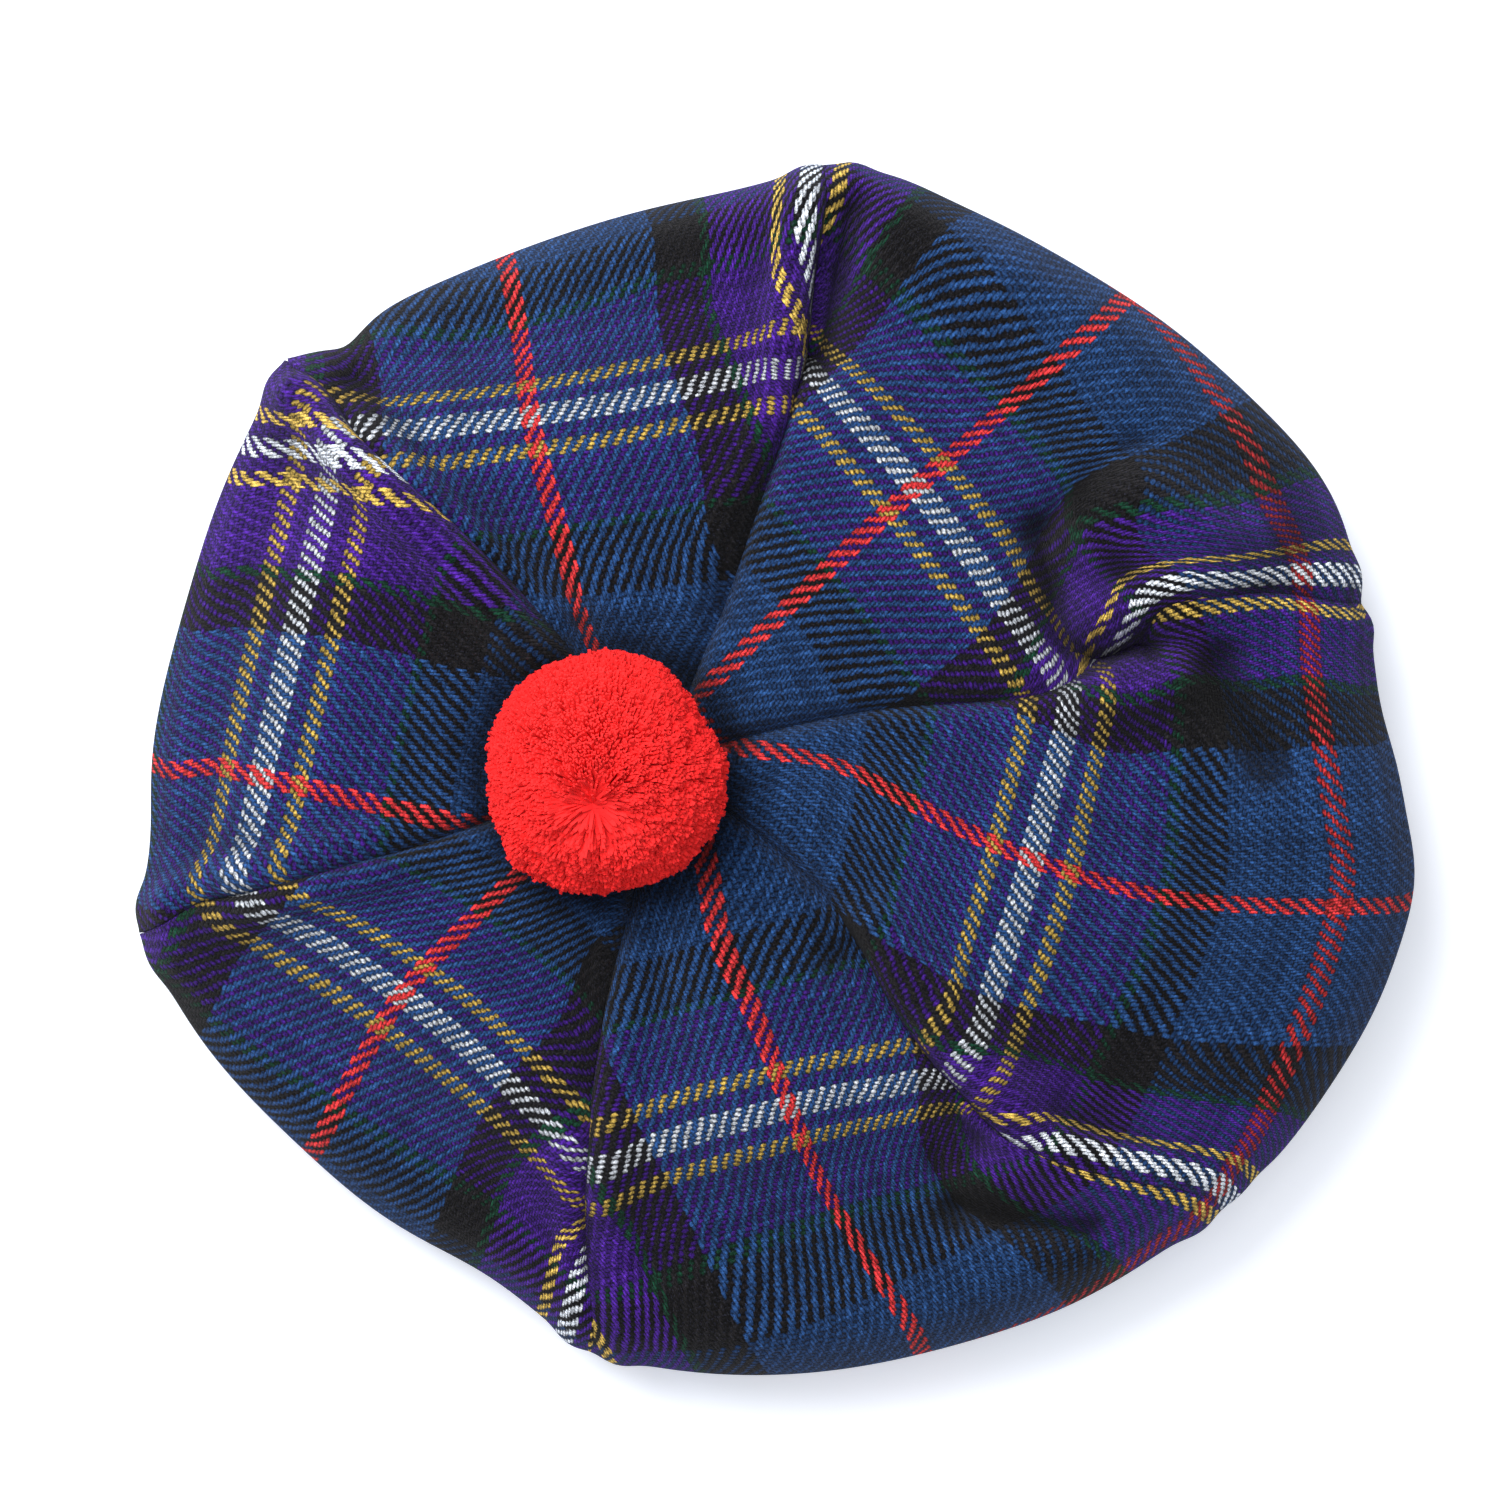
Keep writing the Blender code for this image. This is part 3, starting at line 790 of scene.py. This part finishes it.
class Wire:
    """A shader socket that takes part in sums, as a number does."""

    def __init__(self, tree, socket=None):
        self.tree, self.socket = tree, socket

    def node(self, kind, settings=None, inputs=None, output=0):
        """Adds a node: its type, its settings (a ramp's stops too), and its sockets' values."""
        made = self.tree.nodes.new(kind)
        for name, value in (settings or {}).items():
            if name == "stops":
                set_stops(made.color_ramp, value)
            else:
                setattr(made, name, value)
        for name, value in (inputs or {}).items():
            if isinstance(value, Wire):
                self.tree.links.new(value.socket, made.inputs[name])
            else:
                made.inputs[name].default_value = value
        return Wire(self.tree, made.outputs[output])

    def sum(self, operation, *values):
        """A Math node on some values."""
        inputs = dict(enumerate(values))
        return self.node("ShaderNodeMath", {"operation": operation}, inputs)

    def __add__(self, other):
        return self.sum("ADD", self, other)

    def __radd__(self, other):
        return self.sum("ADD", other, self)

    def __sub__(self, other):
        return self.sum("SUBTRACT", self, other)

    def __rsub__(self, other):
        return self.sum("SUBTRACT", other, self)

    def __mul__(self, other):
        return self.sum("MULTIPLY", self, other)

    def __rmul__(self, other):
        return self.sum("MULTIPLY", other, self)

    def __truediv__(self, other):
        return self.sum("DIVIDE", self, other)

    def between(self, first, second):
        """From the first, where this is 0, to the second, where it is 1."""
        return first + (second - first) * self

    def span(self, start, end):
        """0 where this is at start or under, 1 from end up."""
        inputs = {"Value": self, "From Min": start, "From Max": end}
        return self.node("ShaderNodeMapRange", {}, inputs)

    def chance(self):
        """A number from 0 to 1 for each whole number, without a pattern."""
        settings = {"noise_dimensions": "1D"}
        return self.node("ShaderNodeTexWhiteNoise", settings, {"W": self})

    def noise(self, scale, detail=2.0, roughness=0.5):
        """Soft spots over this place in the flat cloth."""
        settings = {"noise_dimensions": "2D"}
        inputs = {"Vector": self, "Scale": scale, "Detail": detail, "Roughness": roughness}
        return self.node("ShaderNodeTexNoise", settings, inputs)

    def vector(self, operation, other=(0.0, 0.0, 0.0), output="Vector"):
        """A Vector Math node on this place and another."""
        settings = {"operation": operation}
        return self.node("ShaderNodeVectorMath", settings, {0: self, 1: other}, output)

    def colour(self, rgb):
        """A plain colour."""
        made = self.node("ShaderNodeRGB")
        made.socket.default_value = (*rgb, 1)
        return made

    def blend(self, other, share, mode="MIX"):
        """This colour, mixed with another."""
        settings = {"data_type": "RGBA", "blend_type": mode}
        inputs = {MIX_SHARE: share, MIX_FROM: self, MIX_TO: other}
        return self.node("ShaderNodeMix", settings, inputs, MIX_RESULT)


def set_stops(ramp, stops):
    """Colours that change at once at each stop's place (0 to 1)."""
    ramp.interpolation = "CONSTANT"
    while len(ramp.elements) < len(stops):
        ramp.elements.new(1.0)
    for element, (place, colour) in zip(ramp.elements, stops):
        element.position = place
        element.color = (*colour, 1)


def new_material(name, roughness, sheen=0.0):
    """A dull finish, with the node tree and the shader to build on."""
    material = bpy.data.materials.new(name)
    material.use_nodes = True
    tree = material.node_tree
    shader = tree.nodes["Principled BSDF"]
    shader.inputs["Roughness"].default_value = roughness
    shader.inputs["Specular IOR Level"].default_value = DULL
    shader.inputs["Sheen Weight"].default_value = sheen
    shader.inputs["Sheen Roughness"].default_value = SHEEN_SPREAD
    return material, tree, shader


def stripes(place, sett):
    """The colour of the yarn at a place in the tartan's repeat."""
    folded = place.sum("PINGPONG", place, HALF_SETT) / HALF_SETT
    stops = [(start / HALF_SETT, YARNS[name]) for name, start in sett]
    return folded.node("ShaderNodeValToRGB", {"stops": stops}, {0: folded})


Weave = namedtuple("Weave", "warp weft warp_over rise")


def weave_twill(flat):
    """A 2/2 twill: each yarn runs over two and under two of the others.

    Gives the numbers of the warp and the weft yarn at each place, whether the warp is the
    one on top, and how high the top one stands.
    """
    u, v = (flat.node("ShaderNodeSeparateXYZ", {}, {0: flat}, axis) for axis in "XY")
    sway = flat.noise(SLOW_GRAIN) * SLOW_SWAY + flat.noise(QUICK_GRAIN) * QUICK_SWAY
    warps = (u + sway) / WARP_PITCH
    wefts = (v - sway) / WEFT_PITCH
    warp, weft = warps.sum("FLOOR", warps), wefts.sum("FLOOR", wefts)
    off_warp = (warps - warp - 0.5) * 2
    off_weft = (wefts - weft - 0.5) * 2
    warp_wave = u.sum("COSINE", (warp - wefts) * TWILL_TURN)
    weft_wave = u.sum("COSINE", (warps - weft - WEFT_AHEAD) * TWILL_TURN)
    warp_rise = WARP_PROUD + warp_wave - off_warp * off_warp * WARP_ROUND
    weft_rise = weft_wave - off_weft * off_weft
    warp_over = u.sum("GREATER_THAN", warp_rise, weft_rise)
    return Weave(warp, weft, warp_over, u.sum("MAXIMUM", warp_rise, weft_rise))


def make_twill():
    """Wool twill in the tartan, with its fuzz, its lint with painted glints, painted shade
    between the yarns and in its creases, and a painted shadow round the toorie.
    """
    material, tree, shader = new_material("tartan_twill", roughness=0.9, sheen=0.05)
    blank = Wire(tree)  # no socket yet, so only to add nodes
    flat = blank.node("ShaderNodeUVMap", {"uv_map": "tartan"})
    weave = weave_twill(flat)
    warp_colour = stripes((weave.warp + 0.5) * WARP_PITCH, WARP_SETT)
    weft_colour = stripes((weave.weft + 0.5) * WEFT_PITCH - WEFT_START, WEFT_SETT)
    colour = weft_colour.blend(warp_colour, weave.warp_over)
    fuzz = flat.noise(FUZZ_GRAIN, **NAP).span(*FUZZ_SPAN)
    # painted shade in the seams and folds and round the toorie, kept on the cloth's corners
    crease = blank.node("ShaderNodeAttribute", {"attribute_name": "crease"}, output="Fac")
    # painted shade: the yarns darken towards the low places between them
    shade = weave.rise.span(*GAP_SPAN).between(*PAINTED_GAP_SHADES)
    shade = shade * fuzz.between(*FUZZ_SHADES)
    shade = shade * flat.noise(PATCH_GRAIN).between(*PATCH_SHADES)
    shade = shade * weave.warp.chance().between(*YARN_SHADES)
    shade = shade * weave.weft.chance().between(*YARN_SHADES)
    # painted shade: the warp on top lighter than the weft beneath it
    shade = shade * weave.warp_over.between(*PAINTED_WARP_SHADES)
    # the painted shade of creases and the toorie's painted shadow
    shade = shade * crease.between(*PAINTED_CREASE_SHADES)
    grey = blank.node("ShaderNodeCombineColor", {}, {0: shade, 1: shade, 2: shade})
    colour = colour.blend(grey, 1.0, "MULTIPLY")
    # lint: pale fibres, partly a painted highlight where the fuzz catches the light
    lint_glint = LINT_GLINT_COVER * flat.noise(LINT_GLINT_GRAIN, **NAP).span(*LINT_GLINT_SPAN)
    colour = colour.blend(blank.colour(LINT_GLINT), lint_glint)
    tree.links.new(colour.socket, shader.inputs["Base Color"])
    height = weave.rise + FUZZ_RELIEF * fuzz
    relief = {"Height": height, "Distance": WEAVE_RELIEF * MM, "Strength": 1.0}
    bump = blank.node("ShaderNodeBump", {}, relief)
    tree.links.new(bump.socket, shader.inputs["Normal"])
    return material


def make_wool():
    """Bright red pompom wool, with painted shade that darkens it between the strands."""
    material, tree, shader = new_material("red_wool", roughness=1.0)
    blank = Wire(tree)
    place = blank.node("ShaderNodeTexCoord", output="Object")
    middle = (TOORIE_CENTRE - OUTLINE_CENTRE) * MM
    stretch = tuple(1 / size / MM for size in (TOORIE_RADIUS, TOORIE_RADIUS, TOORIE_RISE))
    spoke = place.vector("SUBTRACT", tuple(middle)).vector("MULTIPLY", stretch)
    reach = spoke.vector("LENGTH", output="Value")
    fleck = blank.node("ShaderNodeTexNoise", {}, {"Vector": place, "Scale": FLECK_GRAIN})
    # painted shade towards the roots, with flecks at random
    share = reach.span(*WOOL_SPAN) * fleck.between(*FLECK_SHADES)
    colour = blank.colour(SHADED_WOOL_ROOT).blend(blank.colour(WOOL_TIP), share)
    tree.links.new(colour.socket, shader.inputs["Base Color"])
    return material


def make_table_finish():
    """Matt white."""
    material, _, shader = new_material("pale_table", roughness=0.9)
    shader.inputs["Base Color"].default_value = (*TABLE_WHITE, 1)
    shader.inputs["Emission Color"].default_value = (*DAYLIGHT, 1)
    shader.inputs["Emission Strength"].default_value = TABLE_GLOW
    return material


# ---------------------------------------------------------------- camera, table and light

CAMERA_HEIGHT = 1200.0  # over the table
CAMERA_PLAN = (-5.5, 3.6)  # over this place in the tables
FRAME_WIDTH = 1500 * 0.23186  # the photograph's pixels, and the size of one on the table
SENSOR_WIDTH = 36.0
TABLE_REACH = 2000.0  # to each side

SKY_STRENGTH = 0.12
Softbox = namedtuple("Softbox", "name place side watts")
SOFTBOXES = (  # places and sides in metres
    Softbox("window", (-0.7, 0.85, 1.35), 1.0, 30),
    Softbox("overhead", (0.0, 0.1, 1.6), 1.9, 21),
)


def make_camera():
    """Straight above the hat, as the photograph was taken."""
    lens = bpy.data.cameras.new("camera")
    lens.sensor_width = SENSOR_WIDTH
    lens.lens = SENSOR_WIDTH * CAMERA_HEIGHT / FRAME_WIDTH
    camera = bpy.data.objects.new("camera", lens)
    camera.location = (Vector((*CAMERA_PLAN, CAMERA_HEIGHT)) - Vector(OUTLINE_CENTRE)) * MM
    bpy.context.collection.objects.link(camera)
    bpy.context.scene.camera = camera


def make_table():
    """The table top, which is stage and not part of the hat."""
    shape = bmesh.new()
    bmesh.ops.create_grid(shape, x_segments=2, y_segments=2, size=TABLE_REACH)
    bmesh.ops.translate(shape, verts=shape.verts, vec=Vector(OUTLINE_CENTRE))
    table = new_piece("table", shape, make_table_finish())


def make_softbox(box):
    """A large soft light, turned to the middle of the hat."""
    lamp = bpy.data.lights.new(box.name, "AREA")
    lamp.shape = "SQUARE"
    lamp.size = box.side
    lamp.energy = box.watts
    light = bpy.data.objects.new(box.name, lamp)
    light.location = box.place
    light.rotation_euler = (-Vector(box.place)).to_track_quat("-Z", "Y").to_euler()
    bpy.context.collection.objects.link(light)


def make_sky():
    """Faint daylight from all round."""
    world = bpy.data.worlds.new("studio")
    world.use_nodes = True
    background = world.node_tree.nodes["Background"]
    background.inputs["Color"].default_value = (*DAYLIGHT, 1)
    background.inputs["Strength"].default_value = SKY_STRENGTH
    bpy.context.scene.world = world


def main():
    """Sets the table and dresses the hat."""
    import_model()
    # a new Blender file starts with a camera and a light of its own
    for old in list(bpy.data.objects):
        if old.type in {"CAMERA", "LIGHT"}:
            bpy.data.objects.remove(old, do_unlink=True)
    bpy.context.scene.view_settings.view_transform = "Standard"
    make_camera()
    make_table()
    make_sky()
    for box in SOFTBOXES:
        make_softbox(box)
    twill = make_twill()
    for gore in GORES:
        make_gore(gore, twill)
    make_band(twill)
    make_toorie(make_wool())


main()
